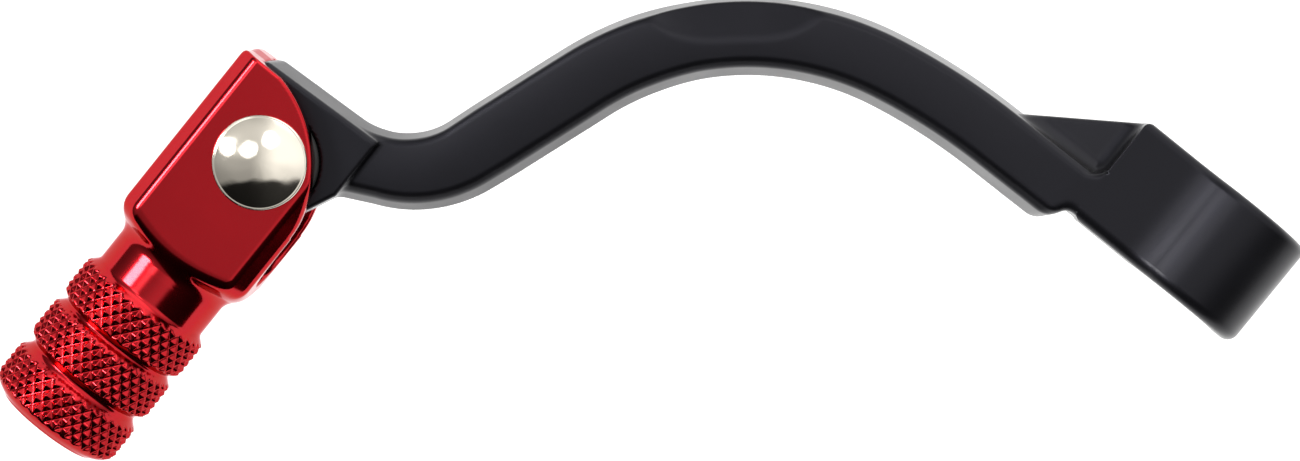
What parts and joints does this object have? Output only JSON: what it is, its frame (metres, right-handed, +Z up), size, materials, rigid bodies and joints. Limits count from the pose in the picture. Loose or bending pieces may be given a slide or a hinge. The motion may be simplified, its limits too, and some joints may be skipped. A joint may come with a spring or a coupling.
{
  "type": "motorcycle gear shift lever",
  "caption": "Bent forged gear shift lever with a splined pinch hub, a gusset web and a sprung folding tip that ends in a knurled toe peg.",
  "frame": {"origin": "centre of the splined bore, half way through the hub", "axes": "+Y along the shift shaft away from the engine, +X forward to the tip, +Z up"},
  "size_m": [0.1182, 0.116, 0.0273],
  "materials": {
    "black_anodised_aluminium": "satin",
    "red_anodised_aluminium": "gloss",
    "polished_steel": "polished",
    "bronze": "satin",
    "spring_steel": "satin",
    "rubber": "matte",
    "zinc_plated_steel": "satin"
  },
  "bodies": {
    "arm": {"lever_arm": "black_anodised_aluminium", "pivot_bush": "bronze", "return_spring": "spring_steel", "upper_dust_seal": "rubber", "lower_dust_seal": "rubber", "pinch_bolt": "zinc_plated_steel", "pinch_bolt_washer": "zinc_plated_steel"},
    "tip": {"toe_peg": "red_anodised_aluminium", "pivot_pin": "polished_steel", "pin_washer": "zinc_plated_steel", "retaining_ring": "spring_steel"}
  },
  "joints": [
    {"name": "tip_fold", "type": "hinge", "parent": "arm", "child": "tip", "pos_m": [0.0982, 0.0652, 0], "axis": [0, 0, 1], "range_deg": [0, 70], "stiffness_Nm_per_rad": 0.18, "springref_deg": -68.75, "deforming": ["return_spring"]}
  ]
}
